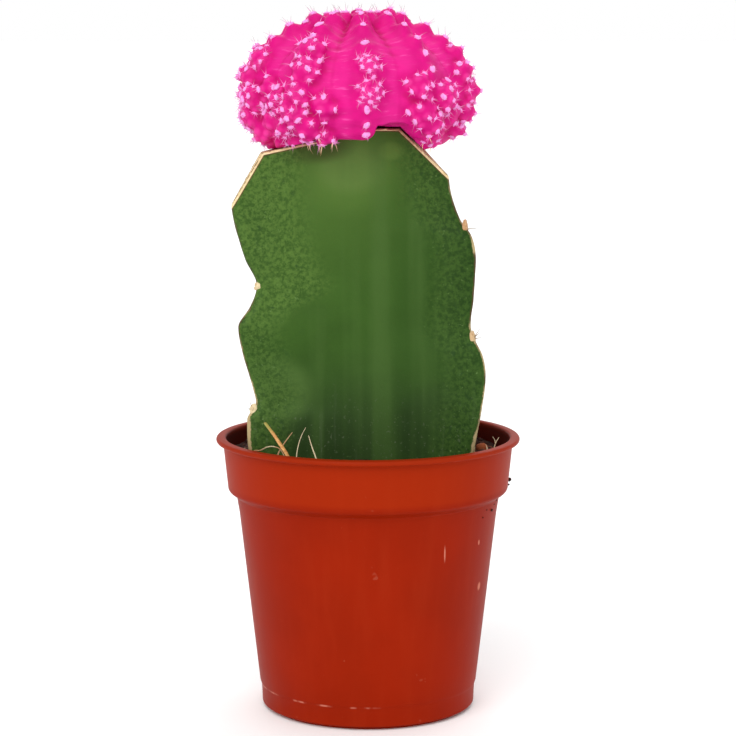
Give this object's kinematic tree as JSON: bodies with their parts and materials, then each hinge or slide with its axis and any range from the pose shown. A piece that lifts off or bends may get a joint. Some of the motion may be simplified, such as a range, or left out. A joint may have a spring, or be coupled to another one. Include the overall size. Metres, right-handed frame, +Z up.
{
  "type": "potted moon cactus",
  "caption": "Grafted moon cactus: a ribbed, spiny magenta head with pups on a three-ribbed green stem, standing in soil in a small round nursery pot with a collar.",
  "frame": {"origin": "centre of the pot's base, on the surface it stands on", "axes": "+Z up through the pot and the plant, -Y towards the front, which is the flat face of the stem between two of its ribs"},
  "size_m": [0.065, 0.065, 0.1502],
  "materials": {
    "pot_plastic": "satin",
    "soil": "matte",
    "stem_skin": "satin",
    "head_skin": "satin",
    "straw": "matte",
    "root_thread": "matte"
  },
  "bodies": {
    "root": {"pot": "pot_plastic", "soil": "soil", "rootstock": "stem_skin", "scion": "head_skin", "straw": "straw", "root_thread_1": "root_thread", "root_thread_2": "root_thread", "root_thread_3": "root_thread"}
  },
  "joints": []
}
